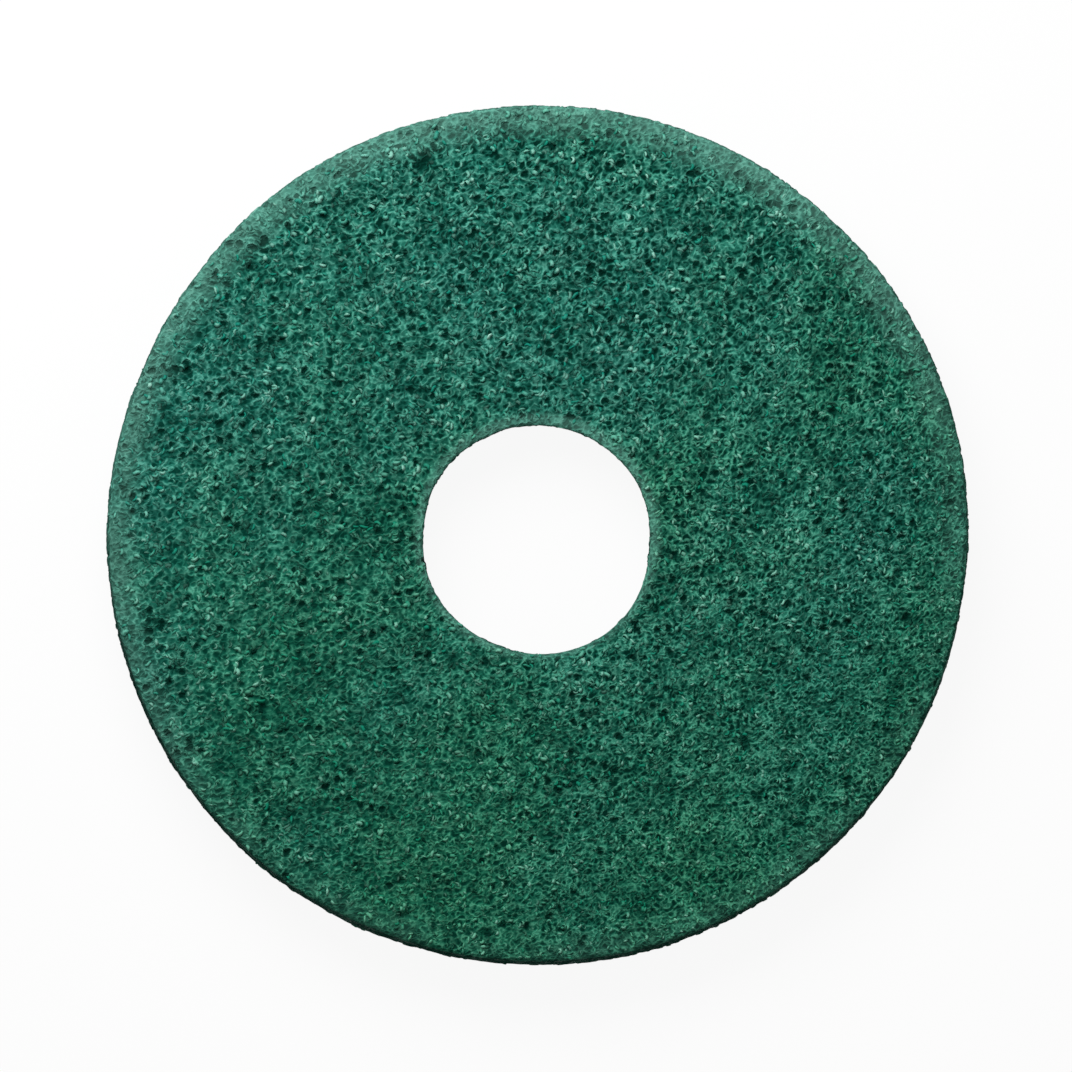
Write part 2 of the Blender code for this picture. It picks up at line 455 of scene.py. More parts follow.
def ring_skin(name, face_step, floor_step, wall_step):
    """The pad's smooth outer skin as one closed mesh of even triangles."""
    points = []
    rings = []
    sections = section_rings(face_step, floor_step, wall_step)
    for number, (radius, height, step) in enumerate(sections):
        count = max(12, round(math.tau * radius / step))
        turn = 0.5 * (number % 2)
        angles = (np.arange(count) + turn) * math.tau / count
        rings.append((sum(len(ring) for ring in points), count, turn))
        around = (radius * np.cos(angles), radius * np.sin(angles), np.full(count, height))
        points.append(np.column_stack(around))
    triangles = []
    for first, second in zip(rings, rings[1:] + rings[:1]):
        triangles += zipped(first, second)
    mesh = bpy.data.meshes.new(name)
    mesh.from_pydata(out_of_round(np.concatenate(points)).tolist(), [], triangles)
    mesh.update()
    shape = bmesh.new()
    shape.from_mesh(mesh)
    bmesh.ops.recalc_face_normals(shape, faces=shape.faces)
    shape.to_mesh(mesh)
    shape.free()
    mesh.shade_smooth()
    return mesh


def flat_ring(name, inner, outer, steps=96):
    """A flat ring that strands are strewn over."""
    shape = bmesh.new()
    near = [shape.verts.new(polar(inner, math.tau * step / steps)) for step in range(steps)]
    far = [shape.verts.new(polar(outer, math.tau * step / steps)) for step in range(steps)]
    for a in range(steps):
        b = (a + 1) % steps
        shape.faces.new((near[a], far[a], far[b], near[b]))
    mesh = bpy.data.meshes.new(name)
    shape.to_mesh(mesh)
    shape.free()
    return mesh


def flat_strip(name, length, low, high):
    """A flat strip, as long as a cut wall is round."""
    mesh = bpy.data.meshes.new(name)
    corners = [(0.0, low, 0.0), (length, low, 0.0), (length, high, 0.0), (0.0, high, 0.0)]
    mesh.from_pydata(corners, [], [(0, 1, 2, 3)])
    mesh.update()
    return mesh


def shown(name, mesh):
    piece = bpy.data.objects.new(name, mesh)
    bpy.context.scene.collection.objects.link(piece)
    return piece


# Geometry node trees


def new_tree(name, inputs):
    """A modifier tree with named inputs and one geometry output."""
    tree = bpy.data.node_groups.new(name, "GeometryNodeTree")
    tree.is_modifier = True
    tree.interface.new_socket("Geometry", in_out="OUTPUT", socket_type="NodeSocketGeometry")
    tree.interface.new_socket("Geometry", in_out="INPUT", socket_type="NodeSocketGeometry")
    for label, kind, value in inputs:
        socket = tree.interface.new_socket(label, in_out="INPUT", socket_type=kind)
        if value is not None:
            socket.default_value = value
    return tree


def set_inputs(modifier, values):
    """Values by the name of the tree's input, set by the socket's identifier."""
    for item in modifier.node_group.interface.items_tree:
        if item.item_type == "SOCKET" and item.in_out == "INPUT" and item.name in values:
            modifier[item.identifier] = values[item.name]


def grown(name, mesh, tree, values):
    """A plain mesh piece, grown by a tree from a mesh."""
    seed = shown(name + "_seed", mesh)
    modifier = seed.modifiers.new(tree.name, "NODES")
    modifier.node_group = tree
    set_inputs(modifier, values)
    bpy.context.view_layer.update()
    evaluated = seed.evaluated_get(bpy.context.evaluated_depsgraph_get())
    result = bpy.data.meshes.new_from_object(evaluated)
    result.name = name
    seed.modifiers.remove(modifier)
    bpy.data.objects.remove(seed, do_unlink=True)
    bpy.data.meshes.remove(mesh)
    return shown(name, result)


def finished(graph, geometry, material):
    """Ends a tree: plain geometry, smooth, with its material."""
    real = graph.node("GeometryNodeRealizeInstances", None, {"Geometry": geometry})["Geometry"]
    smooth = graph.node("GeometryNodeSetShadeSmooth", None, {"Geometry": real})["Geometry"]
    values = {"Geometry": smooth, "Material": material}
    done = graph.node("GeometryNodeSetMaterial", None, values)["Geometry"]
    out = graph.node("NodeGroupOutput")
    graph.link(done, out.node, "Geometry")


def stored(graph, geometry, kind, label, value):
    settings = {"data_type": kind, "domain": "POINT"}
    values = {"Geometry": geometry, "Name": label, "Value": value}
    return graph.node("GeometryNodeStoreNamedAttribute", settings, values)["Geometry"]


def shares_stored(graph, geometry):
    place = graph.node("GeometryNodeInputPosition")[0]
    for label, share in zip(SHARES, web_shares(graph, place)):
        geometry = stored(graph, geometry, "FLOAT", label, share)
    return geometry


def struck(graph, target, source, direction, reach):
    """Where a ray meets a surface."""
    values = {
        "Target Geometry": target,
        "Source Position": source,
        "Ray Direction": direction,
        "Ray Length": reach,
    }
    return graph.node("GeometryNodeRaycast", {"data_type": "FLOAT"}, values)


def blurred(graph, value, times):
    values = {"Value": value, "Iterations": times}
    return graph.node("GeometryNodeBlurAttribute", {"data_type": "FLOAT"}, values)["Value"]


def painted_wall_shade(graph, place, wall):
    """Painted shade on a cut wall: 0 at its edges and on the faces, most on the sloping side."""
    x, y, z = graph.parts(place)
    flat = graph.vector("NORMALIZE", graph.joined(x, y, 0.0))
    side = graph.vector("DOT_PRODUCT", flat, tuple(polar(1.0, SLOPE_SIDE)))
    top = z.eased(THICKNESS - 0.9 * MM, THICKNESS - 3.2 * MM)
    return wall * top * z.eased(0.5 * MM, 4.0 * MM) * side.eased(-0.1, 0.6, 0.62, 1.0)


def recut(graph, rest):
    """Moves the two walls from even flares to a rim that slopes on one side only.

    The hole's wall and the rest of the rim hang over a little. The rim also moves out by as much
    as the relief has sunk it.
    """
    x, y, z = graph.parts(rest)
    flat = graph.joined(x, y, 0.0)
    radius = graph.vector("LENGTH", flat)
    share = ((radius - HOLE_RADIUS) / (RIM_RADIUS - HOLE_RADIUS)).limited()
    side = graph.vector("DOT_PRODUCT", flat, tuple(polar(1.0, SLOPE_SIDE))) / radius
    slope = (side * SLOPE_SWING + SLOPE).most(-OVERHANG)
    outward = share * (RIM_FLARE - slope) - (1.0 - share) * (HOLE_FLARE + OVERHANG)
    outward = outward * z / THICKNESS + share * FULLNESS
    return graph.vector("SCALE", flat, scale=outward / radius)


def relief_tree():
    """Sinks a smooth skin to the solid's own pores, then adds the web's finer openings."""
    tree = new_tree(
        "web_relief",
        (
            ("Solid", "NodeSocketObject", None),
            ("Pore Depth", "NodeSocketFloat", 1.3 * MM),
            ("Curl Height", "NodeSocketFloat", 0.35 * MM),
            ("Swell", "NodeSocketFloat", 0.5 * MM),
            ("Material", "NodeSocketMaterial", None),
        ),
    )
    graph = Graph(tree)
    given = graph.node("NodeGroupInput")
    rest = graph.node("GeometryNodeInputPosition")[0]
    normal = graph.node("GeometryNodeInputNormal")[0]
    x, y, z = graph.parts(rest)
    _, _, level = graph.parts(normal)
    wall = abs(level) < 0.5
    angle = y.math("ARCTAN2", x)
    angle = angle + (angle < 0.0) * math.tau
    radius = graph.vector("LENGTH", graph.joined(x, y, 0.0))
    rolled_out = graph.joined(angle * radius, z + WALL_LAYOUT, 0.0)
    layout = graph.vector("SCALE", rest, scale=1.0 - wall)
    layout = graph.vector("ADD", layout, graph.vector("SCALE", rolled_out, scale=wall))

    values = {0: given["Solid"]}
    solid = graph.node("GeometryNodeObjectInfo", {"transform_space": "ORIGINAL"}, values)
    above = graph.vector("SCALE", normal, scale=RELIEF_REACH)
    source = graph.vector("ADD", rest, above)
    inward = graph.vector("SCALE", normal, scale=-1.0)
    hit = struck(graph, solid["Geometry"], source, inward, RELIEF_RAY)
    depth = (hit["Hit Distance"] - RELIEF_REACH) * hit["Is Hit"]
    depth = blurred(graph, depth.most(0.0), 1)
    inside, ring = pores(graph, millimetres(graph, layout))
    swell = graph.noise(millimetres(graph, rest), 0.045, 2.0)
    sunk = depth * 0.8 + inside * given["Pore Depth"] - ring * given["Curl Height"]
    sunk = sunk + (swell - 0.35).most(0.0) * given["Swell"] + given["Curl Height"]

    saved = graph.node("GeometryNodeCaptureAttribute")
    for kind, label, value in (
        ("FLOAT", "Sunk", sunk),
        # the cut walls' painted shade, stored as wall
        ("FLOAT", "Wall", painted_wall_shade(graph, rest, wall)),
        ("VECTOR", "Rest", rest),
        ("VECTOR", "Layout", layout),
    ):
        saved.node.capture_items.new(kind, label)
        graph.link(value, saved.node, label)
    graph.link(given["Geometry"], saved.node, "Geometry")
    offset = graph.vector("SCALE", normal, scale=saved["Sunk"] * -1.0)
    offset = graph.vector("ADD", offset, recut(graph, rest))
    values = {"Geometry": saved["Geometry"], "Offset": offset}
    lowered = graph.node("GeometryNodeSetPosition", None, values)["Geometry"]
    marked = stored(graph, lowered, "FLOAT", "sunk", saved["Sunk"])
    marked = stored(graph, marked, "FLOAT", "wall", saved["Wall"])
    marked = stored(graph, marked, "FLOAT_VECTOR", "rest", saved["Rest"])
    marked = stored(graph, marked, "FLOAT_VECTOR", "layout", saved["Layout"])
    marked = shares_stored(graph, marked)
    finished(graph, marked, given["Material"])
    return tree


def strand_tree(name, place, outside):
    """Short curls of fibre that rise out of a surface and dive back into it.

    Curls start at points strewn over a flat layout. Each walks on with a heading that wanders,
    and ends at an opening, at the layout's edge or at its own chance length. Place turns a point
    of the layout into a ray that finds the relief below it.
    """
    tree = new_tree(
        name,
        (
            ("Relief", "NodeSocketObject", None),
            ("Density", "NodeSocketFloat", 30000.0),
            ("Points", "NodeSocketInt", 9),
            ("Shortest", "NodeSocketFloat", 0.55),
            ("Step", "NodeSocketFloat", 0.6 * MM),
            ("Curl", "NodeSocketFloat", 0.5),
            ("Lay", "NodeSocketFloat", math.radians(28.0)),
            ("Spread", "NodeSocketFloat", math.pi / 2),
            ("Radius", "NodeSocketFloat", 0.4 * MM),
            ("Lift", "NodeSocketFloat", -0.55 * MM),
            ("Arch", "NodeSocketFloat", 0.9 * MM),
            ("Opening", "NodeSocketFloat", 1.6 * MM),
            ("Wall", "NodeSocketFloat", 0.0),
            ("Seed", "NodeSocketInt", 1),
            ("Material", "NodeSocketMaterial", None),
        ),
    )
    graph = Graph(tree)
    given = graph.node("NodeGroupInput")
    start = graph.node("GeometryNodeInputPosition")[0]
    fine = fineness(graph, start, -0.015, 0.140) * (1.0 - given["Wall"])
    size = 1.0 - fine * 0.28
    density = given["Density"] * (0.85 + fine * 0.85)
    values = {"Mesh": given["Geometry"], "Density": density, "Seed": given["Seed"]}
    settings = {"distribute_method": "RANDOM"}
    strewn = graph.node("GeometryNodeDistributePointsOnFaces", settings, values)["Points"]
    index = graph.node("GeometryNodeInputIndex")[0]
    saved = graph.node("GeometryNodeCaptureAttribute")
    saved.node.capture_items.new("INT", "Strand")
    saved.node.capture_items.new("FLOAT", "Size")
    graph.link(strewn, saved.node, "Geometry")
    graph.link(index, saved.node, "Strand")
    graph.link(size, saved.node, "Size")
    strand = saved["Strand"]
    step = given["Step"] * saved["Size"]
    values = {"Geometry": saved["Geometry"], "Amount": given["Points"]}
    copies = graph.node("GeometryNodeDuplicateElements", {"domain": "POINT"}, values)
    values = {
        "Points": copies["Geometry"],
        "Curve Group ID": strand,
        "Weight": copies["Duplicate Index"],
    }
    curves = graph.node("GeometryNodePointsToCurves", None, values)["Curves"]

    def chance(number, low=0.0, high=1.0):
        values = {2: low, 3: high, "ID": strand, "Seed": number}
        return graph.node("FunctionNodeRandomValue", {"data_type": "FLOAT"}, values)[1]

    def summed(kind, value, out):
        values = {"Value": value, "Group ID": strand}
        settings = {"data_type": kind, "domain": "POINT"}
        return graph.node("GeometryNodeAccumulateField", settings, values)[out]

    number = graph.node("GeometryNodeSplineParameter")["Index"] * 1.0
    track = graph.joined(number * 0.20 + chance(11, 0.0, 90.0), chance(12, 0.0, 90.0), 0.0)
    wander = ((graph.noise(track, 1.0) - 0.5) * 7.0).most(-1.0).least(1.0) * given["Curl"]
    side = chance(13) * 2.0 - 1.0
    heading = given["Lay"] + side * (0.6 + abs(side) * 0.4) * given["Spread"]
    heading = heading + summed("FLOAT", wander, "Leading")
    ahead = graph.joined(heading.math("COSINE") * step, heading.math("SINE") * step, 0.0)
    walked = summed("FLOAT_VECTOR", ahead, "Trailing")
    values = {"Geometry": curves, "Offset": walked}
    laid = graph.node("GeometryNodeSetPosition", None, values)["Geometry"]

    here = graph.node("GeometryNodeInputPosition")[0]
    source, direction, reach = place(graph, here)
    values = {0: given["Relief"]}
    relief = graph.node("GeometryNodeObjectInfo", {"transform_space": "ORIGINAL"}, values)
    hit = struck(graph, relief["Geometry"], source, direction, reach * 2.5)
    depth = blurred(graph, hit["Hit Distance"], 1)
    last = (given["Points"] - 1.0) * (given["Shortest"] + (1.0 - given["Shortest"]) * chance(18))
    over = (number > (last + 0.5)).most(outside(graph, here))
    over = over.most((hit["Hit Distance"] - reach) > given["Opening"])
    along = (number / last).limited()
    rise = (along * (1.0 - along) * 4.0).math("SQRT") * (0.45 + chance(14) * 0.55)
    down = depth - given["Lift"] - rise * given["Arch"]
    ground = graph.vector("ADD", source, graph.vector("SCALE", direction, scale=down))
    found = graph.node("GeometryNodeCaptureAttribute")
    for kind, label, value in (
        ("FLOAT", "Down", down - reach),
        ("FLOAT", "Rise", rise),
        ("VECTOR", "Ground", ground),
        ("VECTOR", "Layout", here),
        ("FLOAT", "Over", summed("FLOAT", over, "Leading")),
    ):
        found.node.capture_items.new(kind, label)
        graph.link(value, found.node, label)
    graph.link(laid, found.node, "Geometry")
    values = {"Geometry": found["Geometry"], "Selection": found["Over"] > 0.5}
    settings = {"domain": "POINT", "mode": "ALL"}
    trimmed = graph.node("GeometryNodeDeleteGeometry", settings, values)["Geometry"]
    count = graph.node("GeometryNodeSplineLength")["Point Count"]
    values = {"Geometry": trimmed, "Selection": count * 1.0 < 3.5}
    trimmed = graph.node("GeometryNodeDeleteGeometry", settings, values)["Geometry"]
    values = {"Geometry": trimmed, "Position": found["Ground"]}
    settled = graph.node("GeometryNodeSetPosition", None, values)["Geometry"]

    marked = stored(graph, settled, "FLOAT", "sunk", found["Down"])
    marked = stored(graph, marked, "FLOAT", "rise", found["Rise"])
    marked = stored(graph, marked, "FLOAT", "tone", chance(16))
    factor = graph.node("GeometryNodeSplineParameter")["Factor"]
    taper = ((0.5 - abs(factor - 0.5)) * 5.0 + 0.45).least(1.0)
    width = given["Radius"] * saved["Size"] * (0.75 + chance(17) * 0.5) * taper
    profile = graph.node("GeometryNodeCurvePrimitiveCircle", None, {"Resolution": 3, "Radius": 1.0})
    values = {
        "Curve": marked,
        "Profile Curve": profile["Curve"],
        "Scale": width,
        "Fill Caps": True,
    }
    tubes = graph.node("GeometryNodeCurveToMesh", None, values)["Mesh"]
    spot = graph.node("GeometryNodeInputPosition")[0]
    rolled_out = graph.vector("ADD", found["Layout"], (0.0, WALL_LAYOUT, 0.0))
    layout = graph.vector("SCALE", rolled_out, scale=given["Wall"])
    flat = graph.vector("MULTIPLY", spot, (1.0, 1.0, 0.0))
    layout = graph.vector("ADD", layout, graph.vector("SCALE", flat, scale=1.0 - given["Wall"]))
    inside, ring = pores(graph, millimetres(graph, layout))
    for label, value in (
        ("curls", crinkle(graph, millimetres(graph, spot))),
        ("inside", inside),
        ("ring", ring),
        # the cut walls' painted shade, stored as wall
        ("wall", painted_wall_shade(graph, spot, given["Wall"])),
    ):
        tubes = stored(graph, tubes, "FLOAT", label, value)
    finished(graph, shares_stored(graph, tubes), given["Material"])
    return tree


def face_place(height, upward):
    """Rays from above a face, or from below it, straight onto the relief."""

    def place(graph, flat):
        x, y, _ = graph.parts(flat)
        source = graph.joined(x, y, height + upward * FACE_REACH)
        return source, graph.joined(0.0, 0.0, -float(upward)), FACE_REACH

    return place


def face_outside(inner, outer):
    def outside(graph, flat):
        x, y, _ = graph.parts(flat)
        radius = graph.vector("LENGTH", graph.joined(x, y, 0.0))
        return (radius > outer).most(radius < inner)

    return outside


def wall_place(radius, facing):
    """Rays from beside a cut wall, rolled up from its flat layout."""

    def place(graph, flat):
        along, height, _ = graph.parts(flat)
        angle = along / radius
        away = graph.joined(angle.math("COSINE"), angle.math("SINE"), 0.0)
        start = graph.vector("SCALE", away, scale=radius + facing * WALL_REACH)
        source = graph.vector("ADD", start, graph.joined(0.0, 0.0, height))
        return source, graph.vector("SCALE", away, scale=-float(facing)), WALL_REACH

    return place


def wall_outside(low, high):
    def outside(graph, flat):
        _, height, _ = graph.parts(flat)
        return (height > high).most(height < low)

    return outside


# Finishes


def shader_graph(name):
    material = bpy.data.materials.new(name)
    material.use_nodes = True
    return material, Graph(material.node_tree)


def close_shader(graph, colour, roughness, normal=None):
    shader = graph.node("ShaderNodeBsdfPrincipled", None, RESIN)
    graph.link(colour, shader.node, "Base Color")
    graph.link(roughness, shader.node, "Roughness")
    if normal is not None:
        graph.link(normal, shader.node, "Normal")
    out = graph.node("ShaderNodeOutputMaterial")
    graph.link(shader["BSDF"], out.node, "Surface")


def bump(graph, height, distance, strength):
    values = {"Strength": strength, "Distance": distance, "Height": height}
    return graph.node("ShaderNodeBump", None, values)["Normal"]


def attribute(graph, label, out):
    settings = {"attribute_name": label, "attribute_type": "GEOMETRY"}
    return graph.node("ShaderNodeAttribute", settings)[out]


def web_colours(graph, colours):
    """The colours of the web's body and of its lit fibres."""
    bluer = attribute(graph, "bluer", "Fac")
    body = graph.colours(bluer, tuple(colours.green), tuple(colours.teal))
    body = graph.colours(attribute(graph, "deep", "Fac") * 0.18, body, tuple(colours.deep))
    return body, graph.colours(bluer, tuple(colours.leaf), tuple(colours.ridge))


def clumped(graph, shade):
    """Dims a shade between the clumps of fibre, and in the painted shade of the band inside the rim.
    """
    return shade * (0.65 + attribute(graph, "clump", "Fac") * 0.54)


def calmed(graph, shade):
    """Evens a shade out where the web is calm."""
    calm = attribute(graph, "calm", "Fac")
    return shade * (1.0 - calm * 0.34) + calm * 0.19


def matted_web_finish(colours):
    """The ground between the strands: finer curls of fibre, with painted shade in its openings and
    hollows.
    """
    material, graph = shader_graph("matted_web")
    rest = attribute(graph, "rest", "Vector")
    sunk = attribute(graph, "sunk", "Fac")
    wall = attribute(graph, "wall", "Fac")
    curls = crinkle(graph, millimetres(graph, rest))
    inside, ring = pores(graph, millimetres(graph, attribute(graph, "layout", "Vector")))
    # Painted shade: darker the deeper the web is sunk, in the openings and on the cut walls
    shade = sunk.eased(2.2 * MM, 0.6 * MM) * (1.0 - inside * 0.95)
    lit = calmed(graph, curls * 1.15 - 0.12 + ring * 0.10) * (0.04 + shade * 0.96)
    lit = clumped(graph, lit * (1.0 - wall * 0.96))
    body, crest = web_colours(graph, colours)
    # Painted highlight: the lit colour on the tops of the curls
    light = graph.colours((curls * curls * 0.65 + ring * 0.3) * shade, body, crest)
    colour = graph.colours(lit.limited(), tuple(colours.pit_shade), light)
    rubbed = attribute(graph, "rubbed", "Fac") * (0.36 + curls * shade * 0.42) * (1.0 - wall)
    colour = graph.colours(rubbed, colour, tuple(colours.worn))
    rough = 0.85 - curls * 0.15
    normal = bump(graph, curls + ring + shade, 0.6 * MM, 0.7)
    close_shader(graph, colour, rough, normal)
    return material


def resin_strand_finish(colours):
    """A curled fibre in its coat of resin, with painted shade where it dives and painted highlights
    where it rises.
    """
    material, graph = shader_graph("resin_strand")
    tone = attribute(graph, "tone", "Fac")
    sunk = attribute(graph, "sunk", "Fac")
    wall = attribute(graph, "wall", "Fac")
    curls = attribute(graph, "curls", "Fac")
    rise = attribute(graph, "rise", "Fac")
    ring = attribute(graph, "ring", "Fac")
    inside = attribute(graph, "inside", "Fac")
    body, crest = web_colours(graph, colours)
    # Painted shade: darker the deeper the strand lies, over openings and on the cut walls
    high = sunk.eased(1.6 * MM, 0.2 * MM) * (1.0 - inside * 0.8) * (1.0 - wall * 0.94)
    high = clumped(graph, high)
    level = calmed(graph, curls * 0.65 + rise * 0.50 - 0.05 + ring * 0.10) * high
    colour = graph.colours(level.limited(), tuple(colours.pit_shade), body)
    # Painted highlight: the lit colour where the strand rises
    lit = calmed(graph, rise * (0.30 + tone * 0.70) + curls * 0.25) * high
    colour = graph.colours(lit.limited(), colour, crest)
    # Painted highlight: the palest colour on the tops of the highest strands
    bright = tone.eased(0.70, 1.0) * rise * high
    colour = graph.colours(bright * 0.62, colour, tuple(colours.pale_glint))
    rubbed = attribute(graph, "rubbed", "Fac") * (0.4 + curls * 0.6) * (1.0 - wall)
    colour = graph.colours(rubbed * 0.6, colour, tuple(colours.worn))
    rough = 0.66 - rise * 0.20
    close_shader(graph, colour, rough)
    return material


def glint_curl_finish(colours):
    """Curls coloured paler than the rest as a painted highlight, most where they rise and on the
    bluer side.
    """
    material, graph = shader_graph("glint_curl")
    tone = attribute(graph, "tone", "Fac")
    sunk = attribute(graph, "sunk", "Fac")
    bluer = attribute(graph, "bluer", "Fac")
    body, crest = web_colours(graph, colours)
    # Painted highlight where the curl rises, fading to the body colour where it dives
    high = sunk.eased(0.9 * MM, -0.2 * MM)
    light = graph.colours(tone * tone * (0.35 + bluer * 0.65), crest, tuple(colours.pale_glint))
    colour = graph.colours(high, body, light)
    rough = 0.6 - tone * 0.12
    close_shader(graph, colour, rough)
    return material


def looked_at(graph):
    """1 for the rays of the camera, a reflection or a view through, and 0 for light."""
    ray = graph.node("ShaderNodeLightPath")
    return ray["Is Camera Ray"].most(ray["Is Glossy Ray"]).most(ray["Is Transmission Ray"])


def floor_finish(floor_colour, glow):
    """A white floor that glows where the camera or a reflection sees it, under a faint shadow."""
    material, graph = shader_graph("white_floor")
    plain = graph.node("ShaderNodeBsdfDiffuse", None, {"Color": tuple(floor_colour)})["BSDF"]
    white = graph.node("ShaderNodeEmission", None, {"Strength": 1.0})["Emission"]
    values = {0: looked_at(graph) * glow, 1: plain, 2: white}
    mixed = graph.node("ShaderNodeMixShader", None, values)[0]
    out = graph.node("ShaderNodeOutputMaterial")
    graph.link(mixed, out.node, "Surface")
    return material


# Settings


def colour_setting(name, description, value):
    return bpy.props.FloatVectorProperty(
        name=name,
        description=description,
        default=value,
        size=4,
        min=0.0,
        max=1.0,
        subtype="COLOR",
    )


def length_setting(name, description, value):
    return bpy.props.FloatProperty(
        name=name,
        description=description,
        default=value,
        min=0.0,
        precision=5,
        unit="LENGTH",
        subtype="DISTANCE",
    )


class ScrubPadColours(bpy.types.PropertyGroup):
    """Colours of the fibre and the floor."""

    teal: colour_setting("Teal", "Fibre where the web is bluer", (0.009, 0.208, 0.152, 1.0))
    green: colour_setting("Green", "Fibre where the web is greener", (0.008, 0.198, 0.106, 1.0))
    deep: colour_setting("Deep", "Darker patches of the web", (0.002, 0.120, 0.084, 1.0))
    worn: colour_setting("Worn", "Paler fibre at the cut edges", (0.130, 0.330, 0.260, 1.0))
    ridge: colour_setting("Ridge", "Lit fibre on the bluer side", (0.135, 0.430, 0.340, 1.0))
    leaf: colour_setting("Leaf", "Lit fibre on the greener side", (0.105, 0.385, 0.235, 1.0))
    # Pale is a painted highlight: the colour of glints on the curls and on the highest strands
    pale_glint: colour_setting("Pale", "Bare curls", (0.340, 0.640, 0.530, 1.0))
    # Pit is painted shade: the near-black put in the openings and the gaps between fibres
    pit_shade: colour_setting("Pit", "The bottom of the openings", (0.0006, 0.021, 0.014, 1.0))
    floor: colour_setting("Floor", "The floor", (0.85, 0.85, 0.85, 1.0))


class ScrubPadSizes(bpy.types.PropertyGroup):
    """Sizes of the web's relief and of its strands."""

    face_step: length_setting("Face step", "Relief detail on the upper face", 1.35 * MM)
    floor_step: length_setting("Floor step", "Relief detail on the lower face", 2.4 * MM)
    wall_step: length_setting("Wall step", "Relief detail on the cut walls", 1.35 * MM)
    pore_depth: length_setting("Pore depth", "Depth of the small openings", 1.3 * MM)
    curl_height: length_setting("Curl height", "Height of the curls that ring them", 0.35 * MM)
    swell: length_setting("Swell", "Long unevenness of the faces", 0.8 * MM)
    strand_radius: length_setting("Strand radius", "Half a strand's width", 0.63 * MM)
    strand_step: length_setting("Strand step", "Length between a strand's points", 0.56 * MM)
    curl_radius: length_setting("Curl radius", "Half a pale curl's width", 0.68 * MM)
    curl: bpy.props.FloatProperty(
        name="Curl",
        description="The most that a strand turns between two of its points",
        default=0.70,
        subtype="ANGLE",
    )


class ScrubPadStage(bpy.types.PropertyGroup):
    """The camera, the lights and the floor."""

    view_width: length_setting("View width", "Width of the camera's view", 0.3799)
    lamp_power: bpy.props.FloatProperty(
        name="Lamp power", description="Power of the large lamp", default=10.6, unit="POWER"
    )
    sky: bpy.props.FloatProperty(
        name="Sky", description="Strength of the light from all round", default=0.28
    )
    glow: bpy.props.FloatProperty(
        name="Glow", description="Share of the floor that shows plain white", default=0.92
    )


# Pieces


def kept(piece):
    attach(piece, BODY)
    return piece


class SCRUB_OT_finishes(bpy.types.Operator):
    """Make the fibre finishes"""

    bl_idname = "scrub.finishes"
    bl_label = "Fibre finishes"

    def execute(self, context):
        colours = context.scene.scrub_colours
        matted_web_finish(colours)
        resin_strand_finish(colours)
        glint_curl_finish(colours)
        return {"FINISHED"}


class SCRUB_OT_web(bpy.types.Operator):
    """Make the matted body of the pad round its solid"""

    bl_idname = "scrub.web"
    bl_label = "Matted web"

    def execute(self, context):
        sizes = context.scene.scrub_sizes
        skin = ring_skin("matted_web", sizes.face_step, sizes.floor_step, sizes.wall_step)
        values = {
            "Solid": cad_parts[PAD_NODE],
            "Pore Depth": sizes.pore_depth,
            "Curl Height": sizes.curl_height,
            "Swell": sizes.swell,
            "Material": bpy.data.materials["matted_web"],
        }
        web = kept(grown("matted_web", skin, relief_tree(), values))
        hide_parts(PAD_NODE)
        return {"FINISHED"}


class SCRUB_OT_face_strands(bpy.types.Operator):
    """Lay curled strands over the upper face"""

    bl_idname = "scrub.face_strands"
    bl_label = "Upper face strands"

    def execute(self, context):
        sizes = context.scene.scrub_sizes
        inner = HOLE_RADIUS + HOLE_MARGIN
        outer = RIM_RADIUS - RIM_MARGIN
        outside = face_outside(inner, outer)
        tree = strand_tree("face_strands", face_place(THICKNESS, 1), outside)
        layers = (
            ("low_face_strands", FACE_DENSITY, sizes.strand_radius, 0.45, 3, "resin_strand"),
            ("mid_face_strands", FACE_DENSITY, sizes.strand_radius, 0.55, 4, "resin_strand"),
            ("top_face_strands", FACE_DENSITY, sizes.strand_radius, 0.65, 5, "resin_strand"),
            ("face_curls", CURL_DENSITY, sizes.curl_radius, 1.25, 6, "glint_curl"),
        )
        for name, density, radius, arch, seed, finish in layers:
            values = {
                "Relief": bpy.data.objects["matted_web"],
                "Density": density,
                "Points": FACE_POINTS,
                "Step": sizes.strand_step,
                "Curl": sizes.curl,
                "Radius": radius,
                "Arch": arch * MM,
                "Seed": seed,
                "Material": bpy.data.materials[finish],
            }
            kept(grown(name, flat_ring(name + "_layout", inner, outer), tree, values))
        return {"FINISHED"}


class SCRUB_OT_floor_strands(bpy.types.Operator):
    """Lay curled strands over the lower face"""

    bl_idname = "scrub.floor_strands"
    bl_label = "Lower face strands"

    def execute(self, context):
        sizes = context.scene.scrub_sizes
        inner = HOLE_RADIUS + HOLE_MARGIN
        outer = RIM_RADIUS - RIM_MARGIN
        tree = strand_tree("floor_strands", face_place(0.0, -1), face_outside(inner, outer))
        values = {
            "Relief": bpy.data.objects["matted_web"],
            "Density": FLOOR_DENSITY,
            "Points": FLOOR_POINTS,
            "Step": sizes.strand_step * 1.2,
            "Curl": sizes.curl,
            "Radius": sizes.strand_radius * 1.15,
            "Lift": -0.30 * MM,
            "Arch": 0.45 * MM,
            "Seed": 21,
            "Material": bpy.data.materials["resin_strand"],
        }
        kept(grown("floor_face_strands", flat_ring("floor_layout", inner, outer), tree, values))
        return {"FINISHED"}


